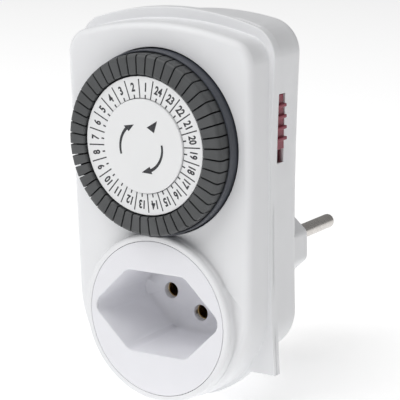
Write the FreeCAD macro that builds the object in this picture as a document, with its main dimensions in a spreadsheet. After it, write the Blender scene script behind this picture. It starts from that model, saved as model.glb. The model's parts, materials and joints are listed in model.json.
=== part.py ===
import FreeCAD, Part
import math
import os

import Sketcher
from FreeCAD import Placement, Rotation, Vector
from fcgear import fcgear, involute

# Plug-in 24 hour timer switch with a recessed three-pin outlet.
# X runs to the right of someone facing the dial, Y runs back into the wall and Z runs up.
# The origin is on the plug's engagement face, midway between the two live pins.
# "Forward" distances are measured from that face towards the dial, so forward = -Y.

SIZES = {
    # Plug and pins
    "pin_pitch": 19.0,
    "pin_diameter": 4.0,
    "pin_reach": 19.0,
    "earth_drop": 5.0,
    "pin_tip_round": 1.3,
    "pin_seat_radius": 2.3,
    "pin_collar_radius": 2.5,
    "pin_collar_thickness": 1.2,
    "pin_tail_radius": 1.4,
    "boss_reach": 12.0,
    "boss_half_width": 13.4,
    "boss_half_side": 4.0,
    "boss_half_flat": 8.0,
    "boss_half_height": 8.8,
    "boss_corner": 2.5,
    "boss_end_wall": 2.5,
    "boss_side_wall": 1.2,
    "boss_rim_round": 0.8,
    # Rear cover
    "step_rise": 6.0,
    "step_half_width": 15.4,
    "step_top": 11.4,
    "step_bottom": -20.6,
    "step_corner": 3.0,
    "step_rim_round": 1.2,
    "rear_top_inset": 5.7,
    "rear_low_inset": 6.6,
    "rear_corner_drop": 0.2,
    "rear_crown_radius": 84.0,
    "rear_side_radius": 900.0,
    "rear_bottom": -27.0,
    "rear_bottom_round": 12.0,
    "rear_top_round": 9.0,
    "rear_edge_round": 5.0,
    "rear_draft": 1.0,
    "rear_depth": 23.0,
    "plate_thickness": 2.0,
    "shelf_thickness": 1.2,
    "shelf_inset": 1.2,
    "wall": 1.8,
    # Seam lip that both covers share
    "lip_top_proud": 2.0,
    "lip_low_proud": 1.6,
    "lip_corner_rise": 1.8,
    "lip_crown_radius": 82.0,
    "lip_side_radius": 700.0,
    "lip_bottom": -26.0,
    "lip_corner": 8.0,
    "lip_thickness": 1.0,
    "lip_round_extra": 1.0,
    # Front cover
    "front_depth": 9.6,
    "front_top_half": 28.4,
    "front_low_half": 27.2,
    "front_corner_height": 60.4,
    "front_crown_radius": 88.0,
    "front_corner": 6.5,
    "front_round_centre": -7.2,
    "front_edge_round": 2.0,
    # Outlet
    "outlet_drop": 10.5,
    "collar_inset": 4.6,
    "collar_width": 1.9,
    "collar_rise": 3.0,
    "collar_edge_round": 0.9,
    "insert_gap": 0.12,
    "insert_flange_extra": 0.8,
    "insert_flange_thickness": 1.6,
    "insert_flange_gap": 0.1,
    "recess_half_width": 20.4,
    "recess_half_flat": 8.9,
    "recess_half_height": 11.0,
    "recess_corner": 3.2,
    "recess_depth": 21.0,
    "recess_draft": 2.0,
    "tub_wall": 1.2,
    "floor_thickness": 2.0,
    "pin_hole_radius": 2.2,
    # Dial
    "dial_rise": 34.5,
    "drum_radius": 24.0,
    "dial_opening_gap": 0.3,
    "drum_rim_rise": 3.0,
    "drum_back_sink": 3.0,
    "drum_rim_wall": 0.5,
    "drum_floor": 1.4,
    "channel_rise": 0.1,
    "core_radius": 18.0,
    "core_rise": 5.6,
    "core_wall": 1.4,
    "hub_wall": 2.0,
    "hub_shoulder": 1.0,
    "axle_radius": 2.4,
    "axle_head_radius": 4.0,
    "axle_head": 1.2,
    "axle_spigot_radius": 1.5,
    "axle_spigot": 0.6,
    "running_gap": 0.05,
    "tappet_rise": 7.0,
    "tappet_outer": 23.4,
    "tappet_inner": 18.2,
    "tappet_gap": 0.35,
    "tappet_clear": 0.3,
    "tappet_stroke": 2.0,
    "tappet_chamfer": 0.7,
    "peg_radius": 0.6,
    "peg_circle": 21.0,
    "peg_hole_gap": 0.15,
    "peg_tip_clear": 0.4,
    "first_hour_angle": 86.0,
    "ring_outer": 17.8,
    "ring_inner": 12.3,
    "ring_thickness": 0.6,
    "centre_disc_radius": 12.1,
    "centre_disc_thickness": 1.0,
    "disc_gap": 0.1,
    # Drive
    "gear_module": 0.5,
    "dial_gear_teeth": 48.0,
    "pinion_teeth": 12.0,
    "gear_backlash": 0.12,
    "gear_thickness": 2.0,
    "gear_back_gap": 1.2,
    "pinion_angle": 150.0,
    "pinion_shaft_radius": 1.0,
    "chassis_sink": 6.4,
    "chassis_thickness": 1.5,
    "chassis_half_width": 23.4,
    "chassis_top": 55.0,
    "chassis_bottom": 13.2,
    "chassis_corner": 2.0,
    "spacer_radius": 1.6,
    "spacer_length": 1.4,
    "spacer_reach": 14.2,
    "motor_x": -3.0,
    "motor_z": 40.0,
    "motor_radius": 16.0,
    "motor_depth": 11.7,
    "motor_wall": 0.8,
    "coil_outer": 13.5,
    "coil_inner": 7.0,
    "coil_depth": 7.0,
    "rotor_radius": 6.0,
    "rotor_depth": 6.4,
    "rotor_shaft_radius": 0.75,
    "rotor_lift": 0.5,
    "rotor_end_gap": 0.2,
    "pinion_shaft_sink": 2.2,
    # Switch and its lever
    "lever_hour": 15.0,
    "lever_thickness": 1.0,
    "lever_arm_depth": 1.2,
    "lever_pivot_z": 6.0,
    "lever_foot": 1.7,
    "lever_top_z": 17.6,
    "lever_nose": 2.2,
    "lever_nose_gap": 0.4,
    "lever_pivot_radius": 0.7,
    "lever_contact_z": 13.6,
    "lever_notch_gap": 1.5,
    "switch_half_width": 5.2,
    "switch_bottom": 3.6,
    "switch_top": 18.6,
    "switch_back": 31.0,
    "switch_depth": 8.4,
    "cheek_thickness": 1.2,
    "cheek_gap": 0.3,
    "cheek_depth": 5.0,
    "cheek_half_height": 1.6,
    "button_radius": 1.2,
    "button_sink": 3.0,
    "button_travel": 1.0,
    "button_gap": 0.1,
    # Override slider on the right side
    "slider_low": 30.8,
    "slider_height": 14.4,
    "slider_back": 28.4,
    "slider_depth": 4.8,
    "slider_travel": 3.5,
    "slider_gap": 0.2,
    "slider_sink": 0.5,
    "slider_reach": 3.7,
    "slider_plate": 1.2,
    "slider_plate_extra": 1.4,
    "slider_plate_overlap": 0.4,
    "slider_rib": 0.9,
    "slider_rib_height": 1.0,
    "slider_ribs": 4.0,
    # Conductors
    "strap_thickness": 0.8,
    "strap_half_width": 1.8,
    "strap_lift": 0.4,
    "contact_outer": 2.9,
    "contact_inner": 2.05,
    "lead_z": 8.4,
    "return_x": 11.6,
    "return_z": 4.4,
    # Screws
    "case_screw_x": 17.2,
    "case_screw_top": 58.2,
    "case_screw_low_x": 18.4,
    "case_screw_low": 5.5,
    "case_screw_radius": 1.3,
    "case_screw_head": 2.6,
    "case_screw_seat": 38.0,
    "case_screw_length": 9.0,
    "pillar_radius": 3.5,
    "chassis_screw_x": 20.0,
    "chassis_screw_top": 52.8,
    "chassis_screw_low": 16.0,
    "chassis_screw_radius": 1.0,
    "chassis_screw_head": 1.9,
    "chassis_screw_length": 4.6,
    "screw_head_height": 1.6,
    "screw_gap": 0.1,
    "screw_slot": 0.7,
    "screw_slot_depth": 0.7,
    "boss_wall": 1.3,
}
HOURS = 24
TAPPETS_PER_HOUR = 2

doc = FreeCAD.newDocument("TimerSwitch")
sheet = doc.addObject("Spreadsheet::Sheet", "Sizes")
for row, (alias, value) in enumerate(SIZES.items(), start=1):
    sheet.set("A%d" % row, alias)
    sheet.set("B%d" % row, repr(value))
    sheet.setAlias("B%d" % row, alias)
doc.recompute()


class Size:
    """A length that knows its value and the sheet expression that gives it."""

    def __init__(self, value, text):
        self.value = value
        self.text = text

    def __add__(self, other):
        other = size(other)
        return Size(self.value + other.value, "(%s + %s)" % (self.text, other.text))

    def __sub__(self, other):
        other = size(other)
        return Size(self.value - other.value, "(%s - %s)" % (self.text, other.text))

    def __mul__(self, other):
        other = size(other)
        return Size(self.value * other.value, "(%s * %s)" % (self.text, other.text))

    def __truediv__(self, other):
        other = size(other)
        return Size(self.value / other.value, "(%s / %s)" % (self.text, other.text))

    def __neg__(self):
        return Size(-self.value, "(0 - %s)" % self.text)


def size(number):
    return number if isinstance(number, Size) else Size(float(number), repr(float(number)))


def root(square):
    return Size(math.sqrt(square.value), "sqrt(%s)" % square.text)


def sine(degrees):
    return Size(math.sin(math.radians(degrees.value)), "sin(%s * 1deg)" % degrees.text)


def cosine(degrees):
    return Size(math.cos(math.radians(degrees.value)), "cos(%s * 1deg)" % degrees.text)


S = {alias: Size(value, "Sizes." + alias) for alias, value in SIZES.items()}
ZERO = size(0)

# Forward distances of the main faces, from the plug's engagement face
step_face = S["boss_reach"]
rear_face = step_face + S["step_rise"]
seam_back = rear_face + S["rear_depth"]
seam = seam_back + S["plate_thickness"]
front_face = seam + S["front_depth"]
front_inside = front_face - S["wall"]
rear_inside = rear_face + S["wall"]
step_inside = step_face + S["wall"]
boss_inside = S["boss_end_wall"]
collar_face = front_face + S["collar_rise"]
recess_floor = collar_face - S["recess_depth"]
floor_back = recess_floor - S["floor_thickness"]
chassis_face = front_face - S["chassis_sink"]
chassis_back = chassis_face - S["chassis_thickness"]
motor_front = chassis_back - S["spacer_length"]
motor_back = motor_front - S["motor_depth"]
drum_back = front_face - S["drum_back_sink"]
drum_front = front_face + S["drum_rim_rise"]
channel_floor = front_face + S["channel_rise"]
channel_under = channel_floor - S["drum_floor"]
core_face = front_face + S["core_rise"]
gear_back = chassis_face + S["gear_back_gap"]
gear_face = gear_back + S["gear_thickness"]
tappet_back = channel_floor + S["tappet_stroke"] + S["tappet_clear"]
tappet_face = front_face + S["tappet_rise"]
strap_back = step_inside + S["strap_lift"]
strap_face = strap_back + S["strap_thickness"]
switch_face = S["switch_back"] + S["switch_depth"]
lever_back = switch_face + S["cheek_depth"] / 2
lever_face = lever_back + S["lever_arm_depth"]
lever_axis = (lever_back + lever_face) / 2

# Sideways and upward places
lip_top_half = S["front_top_half"] + S["lip_top_proud"]
lip_low_half = S["front_low_half"] + S["lip_low_proud"]
lip_shoulder = S["front_corner_height"] + S["lip_corner_rise"]
rear_top_half = lip_top_half - S["rear_top_inset"]
rear_low_half = lip_low_half - S["rear_low_inset"]
rear_shoulder = lip_shoulder - S["rear_corner_drop"]
slider_face = (rear_top_half + rear_low_half) / 2 - S["slider_sink"]
slider_inner = slider_face - S["slider_reach"]
pin_radius = S["pin_diameter"] / 2
pin_x = S["pin_pitch"] / 2
earth_z = -S["earth_drop"]
outlet_z = -S["outlet_drop"]
outlet_earth_z = outlet_z - S["earth_drop"]
collar_z = S["front_round_centre"] - S["collar_inset"]
collar_radius = S["front_low_half"] - S["collar_inset"]
insert_radius = collar_radius - S["collar_width"]
dial_z = S["dial_rise"]
lever_angle = S["first_hour_angle"] + (S["lever_hour"] - 1) * 360 / HOURS
lever_x = S["peg_circle"] * cosine(lever_angle)
gear_distance = S["gear_module"] * (S["dial_gear_teeth"] + S["pinion_teeth"]) / 2 + S["gear_backlash"]
pinion_x = gear_distance * cosine(S["pinion_angle"])
pinion_z = dial_z + gear_distance * sine(S["pinion_angle"])


def bind(thing, prop, amount):
    thing.setExpression(prop, size(amount).text)


def bind_angle(thing, prop, degrees):
    thing.setExpression(prop, "%s * 1deg" % size(degrees).text)


# Sketch and feature helpers

def origin_plane(body, role):
    return [plane for plane in body.Origin.OriginFeatures if plane.Role == role][0]


def new_body(label):
    return doc.addObject("PartDesign::Body", label)


def fix_point(sketch, geometry, position, x, z):
    """Ties one point of the sketch to the named sizes x and z, or to z alone."""
    for kind, axis, amount in (("DistanceX", -2, x), ("DistanceY", -1, z)):
        if amount is None:
            continue
        amount = size(amount)
        if amount.text == ZERO.text:
            sketch.addConstraint(Sketcher.Constraint("PointOnObject", geometry, position, axis))
            continue
        index = sketch.addConstraint(Sketcher.Constraint(kind, -1, 1, geometry, position, amount.value))
        sketch.setExpression("Constraints[%d]" % index, amount.text)


def fix_radius(sketch, geometry, radius):
    index = sketch.addConstraint(Sketcher.Constraint("Radius", geometry, radius.value))
    sketch.setExpression("Constraints[%d]" % index, radius.text)


def draw_circle(sketch, x, z, radius):
    radius = size(radius)
    circle = Part.Circle(Vector(size(x).value, size(z).value, 0), Vector(0, 0, 1), radius.value)
    geometry = sketch.addGeometry(circle, False)
    fix_point(sketch, geometry, 3, x, z)
    fix_radius(sketch, geometry, radius)


def arc_between(start, end, radius, bulges_left):
    """A short arc between two points, drawn anticlockwise as the sketcher keeps it."""
    if bulges_left:
        start, end = end, start
    chord = end - start
    half = chord.Length / 2
    inward = Vector(-chord.y, chord.x, 0).normalize()
    centre = (start + end) / 2 + inward * math.sqrt(max(radius * radius - half * half, 0))
    first = math.atan2(start.y - centre.y, start.x - centre.x)
    last = math.atan2(end.y - centre.y, end.x - centre.x)
    if last <= first:
        last += 2 * math.pi
    return Part.ArcOfCircle(Part.Circle(centre, Vector(0, 0, 1), radius), first, last)


def draw_outline(sketch, corners):
    """Draws a closed outline of corners.

    A corner is (x, z), or (x, z, radius, side) where an arc leads to the next one. An arc with the side
    "half" is a half circle that bulges to the right, and its centre lies level with its ends on x = 0.
    """
    points = [Vector(size(c[0]).value, size(c[1]).value, 0) for c in corners]
    edges = []
    for index, corner in enumerate(corners):
        start, end = points[index], points[(index + 1) % len(points)]
        if len(corner) == 2:
            edges.append((sketch.addGeometry(Part.LineSegment(start, end), False), 1, 2))
            continue
        left = corner[3] == "left"
        arc = arc_between(start, end, size(corner[2]).value, left)
        geometry = sketch.addGeometry(arc, False)
        edges.append((geometry, 2, 1) if left else (geometry, 1, 2))
    for index, (geometry, start, end) in enumerate(edges):
        following, first, last = edges[(index + 1) % len(edges)]
        sketch.addConstraint(Sketcher.Constraint("Coincident", geometry, end, following, first))
    for index, corner in enumerate(corners):
        geometry, start, end = edges[index]
        after_half = corners[index - 1][-1] == "half"
        fix_point(sketch, geometry, start, None if after_half else corner[0], corner[1])
        if corner[-1] == "half":
            fix_point(sketch, geometry, 3, ZERO, corner[1])
        elif len(corner) > 2:
            fix_radius(sketch, geometry, size(corner[2]))


def new_sketch(body, name, role, offset, shapes):
    sketch = body.newObject("Sketcher::SketchObject", name)
    sketch.AttachmentSupport = [(origin_plane(body, role), "")]
    sketch.MapMode = "FlatFace"
    bind(sketch, "AttachmentOffset.Base.z", offset)
    for shape in shapes:
        if shape[0] == "circle":
            draw_circle(sketch, *shape[1:])
        else:
            draw_outline(sketch, shape)
    return sketch


def pad(body, name, shapes, back, front, draft=None, from_front=False):
    """Adds material between two forward distances, drafted away from the sketch if draft is given."""
    sketch = new_sketch(body, name + "_sketch", "XZ_Plane", front if from_front else back, shapes)
    feature = body.newObject("PartDesign::Pad", name)
    feature.Profile = sketch
    bind(feature, "Length", size(front) - back)
    feature.Reversed = from_front
    if draft is not None:
        bind_angle(feature, "TaperAngle", draft)
    sketch.Visibility = False
    return feature


def pocket(body, name, shapes, back, front):
    """Cuts material away between two forward distances, from the front backwards."""
    doc.recompute()
    before = body.Shape.Volume
    sketch = new_sketch(body, name + "_sketch", "XZ_Plane", front, shapes)
    feature = body.newObject("PartDesign::Pocket", name)
    feature.Profile = sketch
    bind(feature, "Length", size(front) - back)
    doc.recompute()
    if not body.Shape.Volume < before:
        raise RuntimeError("%s cuts nothing from %s" % (name, body.Label))
    return feature


def dress(body, kind, name, amount, pick):
    """Fillets or chamfers the edges of the body's tip that pick accepts."""
    doc.recompute()
    tip = body.Tip
    edges = ["Edge%d" % (i + 1) for i, edge in enumerate(tip.Shape.Edges) if pick(edge)]
    if not edges:
        raise RuntimeError("%s finds no edge on %s" % (name, body.Label))
    feature = body.newObject("PartDesign::" + kind, name)
    feature.Base = (tip, edges)
    bind(feature, "Radius" if kind == "Fillet" else "Size", amount)
    doc.recompute()
    return feature


def lies_at(edge, forward, tolerance=0.01):
    """True for an edge that lies wholly at one forward distance."""
    box = edge.BoundBox
    level = -size(forward).value
    return abs(box.YMin - level) < tolerance and abs(box.YMax - level) < tolerance


def runs_back(edge, x, z, reach=1.0):
    """True for an edge that runs along Y close to the corner at x, z on either side."""
    box = edge.BoundBox
    middle = box.Center
    near = abs(abs(middle.x) - abs(size(x).value)) < reach and abs(middle.z - size(z).value) < reach
    return near and is_upstanding(edge)


def is_upstanding(edge):
    """True for an edge that runs mainly along Y, as a pad's corners do."""
    box = edge.BoundBox
    return box.YLength > max(box.XLength, box.ZLength) * 2


def turned(label, x, z, profile):
    """A round piece about a line along Y. The profile is a list of (radius, forward) corners."""
    body = new_body(label)
    sketch = body.newObject("Sketcher::SketchObject", label + "_profile")
    sketch.AttachmentSupport = [(origin_plane(body, "XY_Plane"), "")]
    sketch.MapMode = "FlatFace"
    draw_outline(sketch, [(c[0], -size(c[1])) + tuple(c[2:]) for c in profile])
    feature = body.newObject("PartDesign::Revolution", label + "_turn")
    feature.Profile = sketch
    feature.ReferenceAxis = (sketch, ["V_Axis"])
    feature.Angle = 360
    bind(body, "Placement.Base.x", x)
    bind(body, "Placement.Base.z", z)
    return body


def ring_profile(inner, outer, back, front):
    return [(inner, back), (outer, back), (outer, front), (inner, front)]


def block(name, x_low, x_high, back, front, z_low, z_high):
    box = doc.addObject("Part::Box", name)
    bind(box, "Length", size(x_high) - x_low)
    bind(box, "Width", size(front) - back)
    bind(box, "Height", size(z_high) - z_low)
    bind(box, "Placement.Base.x", x_low)
    bind(box, "Placement.Base.y", -size(front))
    bind(box, "Placement.Base.z", z_low)
    return box


def rod(name, x, z, radius, back, front):
    """A plain cylinder along Y."""
    cylinder = doc.addObject("Part::Cylinder", name)
    bind(cylinder, "Radius", radius)
    bind(cylinder, "Height", size(front) - back)
    cylinder.Placement = Placement(Vector(0, 0, 0), Rotation(Vector(1, 0, 0), -90))
    bind(cylinder, "Placement.Base.x", x)
    bind(cylinder, "Placement.Base.y", -size(front))
    bind(cylinder, "Placement.Base.z", z)
    return cylinder


def cross_rod(name, forward, z, radius, x_low, x_high):
    """A plain cylinder along X."""
    cylinder = doc.addObject("Part::Cylinder", name)
    bind(cylinder, "Radius", radius)
    bind(cylinder, "Height", size(x_high) - x_low)
    cylinder.Placement = Placement(Vector(0, 0, 0), Rotation(Vector(0, 1, 0), 90))
    bind(cylinder, "Placement.Base.x", x_low)
    bind(cylinder, "Placement.Base.y", -size(forward))
    bind(cylinder, "Placement.Base.z", z)
    return cylinder


def fuse(name, *pieces):
    union = doc.addObject("Part::MultiFuse", name)
    union.Shapes = list(pieces)
    return union


def cut(name, base, *tools):
    difference = doc.addObject("Part::Cut", name)
    difference.Base = base
    difference.Tool = tools[0] if len(tools) == 1 else fuse(name + "_tools", *tools)
    return difference


def group(label, *pieces):
    compound = doc.addObject("Part::Compound", label)
    compound.Links = list(pieces)
    return compound


# Outlines that the covers and the outlet share

def hexagon(half_width, half_flat, half_height, z):
    return [
        (half_width, z),
        (half_flat, z + half_height),
        (-half_flat, z + half_height),
        (-half_width, z),
        (-half_flat, z - half_height),
        (half_flat, z - half_height),
    ]


def front_outline(inset):
    """Arched top, straight sides that close in a little downwards, and a half-round bottom."""
    top = S["front_top_half"] - inset
    low = S["front_low_half"] - inset
    shoulder = S["front_corner_height"] - inset
    waist = S["front_round_centre"]
    return [
        (low, waist),
        (top, shoulder, S["front_crown_radius"] - inset, "right"),
        (-top, shoulder),
        (-low, waist, low, "half"),
    ]


def lip_outline():
    """Slightly waisted sides, a crowned top and a square bottom."""
    bend = S["lip_side_radius"]
    return [
        (lip_low_half, S["lip_bottom"], bend, "left"),
        (lip_top_half, lip_shoulder, S["lip_crown_radius"], "right"),
        (-lip_top_half, lip_shoulder, bend, "left"),
        (-lip_low_half, S["lip_bottom"]),
    ]


def lip_round():
    return ("circle", ZERO, S["front_round_centre"], S["front_low_half"] + S["lip_round_extra"])


def rear_outline(inset):
    top = rear_top_half - inset
    low = rear_low_half - inset
    shoulder = rear_shoulder - inset
    bottom = S["rear_bottom"] + inset
    turn = S["rear_bottom_round"] - inset
    bend = S["rear_side_radius"] + inset
    return [
        (low, bottom + turn, bend, "left"),
        (top, shoulder, S["rear_crown_radius"] - inset, "right"),
        (-top, shoulder, bend, "left"),
        (-low, bottom + turn, turn, "right"),
        (turn - low, bottom),
        (low - turn, bottom, turn, "right"),
    ]


def screw_places():
    return [
        (S["case_screw_x"], S["case_screw_top"]),
        (-S["case_screw_x"], S["case_screw_top"]),
        (S["case_screw_low_x"], S["case_screw_low"]),
        (-S["case_screw_low_x"], S["case_screw_low"]),
    ]


def chassis_places():
    x, top, low = S["chassis_screw_x"], S["chassis_screw_top"], S["chassis_screw_low"]
    return [(x, top), (-x, top), (x, low), (-x, low)]


def circles(places, radius):
    return [("circle", x, z, radius) for x, z in places]


# Front cover: shell, shared lip, outlet collar and round dial opening

def make_front_cover():
    outer = new_body("front_outer")
    pad(outer, "front_shell", [front_outline(ZERO)], seam, front_face)
    corner_x, corner_z = S["front_top_half"], S["front_corner_height"]
    dress(outer, "Fillet", "front_corners", S["front_corner"], lambda e: runs_back(e, corner_x, corner_z))
    dress(outer, "Fillet", "front_rim", S["front_edge_round"], lambda e: lies_at(e, front_face))
    lip_front = seam + S["lip_thickness"]
    pad(outer, "front_lip", [lip_outline()], seam, lip_front)
    pad(outer, "front_lip_round", [lip_round()], seam, lip_front)
    dress(outer, "Fillet", "lip_corners", S["lip_corner"],
          lambda e: runs_back(e, lip_top_half, lip_shoulder))
    pad(outer, "outlet_collar", [("circle", ZERO, collar_z, collar_radius)], front_inside, collar_face)
    dress(outer, "Fillet", "collar_rim", S["collar_edge_round"], lambda e: lies_at(e, collar_face))

    hollow = new_body("front_hollow")
    pad(hollow, "front_cavity", [front_outline(S["wall"])], seam, front_inside)

    bosses = []
    for number, (x, z) in enumerate(screw_places(), start=1):
        bosses.append(rod("case_boss_%d" % number, x, z, S["case_screw_radius"] + S["boss_wall"],
                          seam, front_inside))
    for number, (x, z) in enumerate(chassis_places(), start=1):
        bosses.append(rod("chassis_boss_%d" % number, x, z, S["chassis_screw_radius"] + S["boss_wall"],
                          chassis_face, front_inside))
    space = cut("front_space", hollow, *bosses)

    holes = [
        rod("dial_opening", ZERO, dial_z, S["drum_radius"] + S["dial_opening_gap"], seam, collar_face),
        rod("outlet_opening", ZERO, collar_z, insert_radius + S["insert_gap"], seam, collar_face),
    ]
    pilot = S["case_screw_radius"] + S["screw_gap"] / 2
    for number, (x, z) in enumerate(screw_places(), start=1):
        holes.append(rod("case_pilot_%d" % number, x, z, pilot, seam, front_inside))
    pilot = S["chassis_screw_radius"] + S["screw_gap"] / 2
    for number, (x, z) in enumerate(chassis_places(), start=1):
        holes.append(rod("chassis_pilot_%d" % number, x, z, pilot, chassis_face, front_inside))
    return cut("front_cover", outer, space, *holes)


# Rear cover: plate, drafted shell, step round the plug and hexagonal plug boss

def step_outline(inset):
    half = S["step_half_width"] - inset
    top, bottom = S["step_top"] - inset, S["step_bottom"] + inset
    return [(half, bottom), (half, top), (-half, top), (-half, bottom)]


def plug_outline(inset):
    """A hexagon with its two side corners cut off upright, centred on the three pins."""
    middle = earth_z / 2
    wide, side = S["boss_half_width"] - inset, S["boss_half_side"] - inset * 0.3
    flat, high = S["boss_half_flat"] - inset * 0.4, S["boss_half_height"] - inset
    return [
        (wide, middle - side),
        (wide, middle + side),
        (flat, middle + high),
        (-flat, middle + high),
        (-wide, middle + side),
        (-wide, middle - side),
        (-flat, middle - high),
        (flat, middle - high),
    ]


def slider_window(name, extra):
    low = S["slider_low"] - S["slider_travel"] - extra
    high = S["slider_low"] + S["slider_height"] + extra
    back = S["slider_back"] - extra
    return block(name, slider_inner, lip_top_half, back,
                 S["slider_back"] + S["slider_depth"] + extra, low, high)


def make_rear_cover():
    outer = new_body("rear_outer")
    pad(outer, "rear_shell", [rear_outline(ZERO)], rear_face, seam_back, -S["rear_draft"], True)
    dress(outer, "Fillet", "rear_top_corners", S["rear_top_round"],
          lambda e: runs_back(e, rear_top_half, rear_shoulder))
    dress(outer, "Fillet", "rear_rim", S["rear_edge_round"], lambda e: lies_at(e, rear_face))
    pad(outer, "plate", [lip_outline()], seam_back, seam)
    pad(outer, "plate_round", [lip_round()], seam_back, seam)
    dress(outer, "Fillet", "plate_corners", S["lip_corner"],
          lambda e: runs_back(e, lip_top_half, lip_shoulder))
    step = new_body("step_outer")
    pad(step, "step", [step_outline(ZERO)], step_face, rear_face + S["rear_edge_round"])
    dress(step, "Fillet", "step_corners", S["step_corner"], is_upstanding)
    dress(step, "Fillet", "step_rim", S["step_rim_round"], lambda e: lies_at(e, step_face))
    boss = new_body("boss_outer")
    pad(boss, "plug_boss", [plug_outline(ZERO)], ZERO, step_inside)
    dress(boss, "Fillet", "boss_corners", S["boss_corner"], is_upstanding)
    dress(boss, "Fillet", "boss_rim", S["boss_rim_round"], lambda e: lies_at(e, ZERO))
    solid = fuse("rear_solid", outer, step, boss)

    hollow = new_body("rear_hollow")
    pad(hollow, "rear_cavity", [rear_outline(S["wall"])], rear_inside, seam, -S["rear_draft"], True)
    dress(hollow, "Fillet", "rear_cavity_corners", S["rear_top_round"] - S["wall"],
          lambda e: runs_back(e, rear_top_half - S["wall"], rear_shoulder - S["wall"]))
    step_hollow = block("step_hollow", S["wall"] - S["step_half_width"], S["step_half_width"] - S["wall"],
                        step_inside, rear_inside + 1, S["step_bottom"] + S["wall"],
                        S["step_top"] - S["wall"])
    plug_hollow = new_body("plug_hollow")
    pad(plug_hollow, "plug_cavity", [plug_outline(S["boss_side_wall"])], boss_inside, step_inside + 1)

    kept = []
    for number, (x, z) in enumerate(screw_places(), start=1):
        kept.append(rod("pillar_%d" % number, x, z, S["pillar_radius"], step_inside, seam))
    shelf = S["shelf_thickness"]
    left, right = lever_x - S["switch_half_width"], lever_x + S["switch_half_width"]
    kept.append(block("shelf_side", left, left + shelf, rear_face, S["switch_back"],
                      S["switch_bottom"] + S["shelf_inset"], S["switch_top"] - S["shelf_inset"]))
    kept.append(block("shelf_top", left, right, rear_face, S["switch_back"],
                      S["switch_top"] - S["shelf_inset"] - shelf, S["switch_top"] - S["shelf_inset"]))
    space = cut("rear_space", fuse("rear_hollows", hollow, step_hollow, plug_hollow), *kept)

    holes = [slider_window("slider_window", S["slider_gap"])]
    for number, (x, z) in enumerate(screw_places(), start=1):
        holes.append(rod("screw_well_%d" % number, x, z, S["case_screw_head"] + S["screw_gap"] * 2,
                         step_face, S["case_screw_seat"]))
        holes.append(rod("screw_way_%d" % number, x, z, S["case_screw_radius"] + S["screw_gap"],
                         step_face, seam))
    for name, x, z in (("live_way", pin_x, ZERO), ("neutral_way", -pin_x, ZERO),
                       ("earth_way", ZERO, earth_z)):
        holes.append(rod(name, x, z, S["pin_seat_radius"], ZERO, boss_inside))
    return cut("rear_cover", solid, space, *holes)


# Outlet insert: a round plate with the hexagonal recess and its tub

def recess_outline(grow):
    return hexagon(S["recess_half_width"] + grow * 1.4, S["recess_half_flat"] + grow * 0.4,
                   S["recess_half_height"] + grow, outlet_z)


def make_insert():
    flange_front = front_inside - S["insert_flange_gap"]
    flange_back = flange_front - S["insert_flange_thickness"]
    body = new_body("insert_outer")
    pad(body, "tub", [recess_outline(S["tub_wall"] / 2)], floor_back, flange_front)
    dress(body, "Fillet", "tub_corners", S["recess_corner"], is_upstanding)
    pad(body, "insert_disc", [("circle", ZERO, collar_z, insert_radius)], flange_back, collar_face)

    flange = rod("flange_disc", ZERO, collar_z, insert_radius + S["insert_flange_extra"],
                 flange_back, flange_front)
    room = new_body("flange_room")
    pad(room, "flange_room_outline", [front_outline(S["wall"] + S["insert_flange_gap"])],
        flange_back, flange_front)
    trimmed = doc.addObject("Part::Common", "insert_flange")
    trimmed.Base = flange
    trimmed.Tool = room

    recess = new_body("recess")
    pad(recess, "recess_space", [recess_outline(ZERO)], recess_floor, collar_face, -S["recess_draft"], True)
    dress(recess, "Fillet", "recess_corners", S["recess_corner"], is_upstanding)
    holes = [rod("dial_room", ZERO, dial_z, S["drum_radius"] + S["dial_opening_gap"], flange_back,
                 collar_face)]
    for name, x, z in (("live_hole", pin_x, outlet_z), ("neutral_hole", -pin_x, outlet_z),
                       ("earth_hole", ZERO, outlet_earth_z)):
        holes.append(rod(name, x, z, S["pin_hole_radius"], floor_back, recess_floor))
    return cut("socket_insert", fuse("insert_solid", body, trimmed), recess, *holes)


# Chassis plate that carries the dial, the motor and the lever's slot

def make_chassis():
    body = new_body("chassis")
    half, top, bottom = S["chassis_half_width"], S["chassis_top"], S["chassis_bottom"]
    pad(body, "chassis_plate", [[(half, bottom), (half, top), (-half, top), (-half, bottom)]],
        chassis_back, chassis_face)
    dress(body, "Fillet", "chassis_corners", S["chassis_corner"], is_upstanding)
    spacers = [("circle", S["motor_x"] + S["spacer_reach"], S["motor_z"], S["spacer_radius"]),
               ("circle", S["motor_x"] - S["spacer_reach"], S["motor_z"], S["spacer_radius"])]
    pad(body, "motor_spacers", spacers, motor_front, chassis_back)
    pocket(body, "axle_hole", [("circle", ZERO, dial_z, S["axle_radius"])], chassis_back, chassis_face)
    pocket(body, "shaft_hole",
           [("circle", pinion_x, pinion_z, S["pinion_shaft_radius"] + S["screw_gap"] * 2)],
           chassis_back, chassis_face)
    pocket(body, "chassis_screw_holes",
           circles(chassis_places(), S["chassis_screw_radius"] + S["screw_gap"]),
           chassis_back, chassis_face)
    notch = S["lever_thickness"] / 2 + S["lever_notch_gap"]
    notch_top = S["lever_top_z"] + S["lever_notch_gap"]
    pocket(body, "lever_notch",
           [[(lever_x + notch, bottom - 1), (lever_x + notch, notch_top),
             (lever_x - notch, notch_top), (lever_x - notch, bottom - 1)]],
           chassis_back, chassis_face)
    return body


# Dial: drum with a channel for the tappets, printed ring, fixed centre disc, axle and gears

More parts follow.
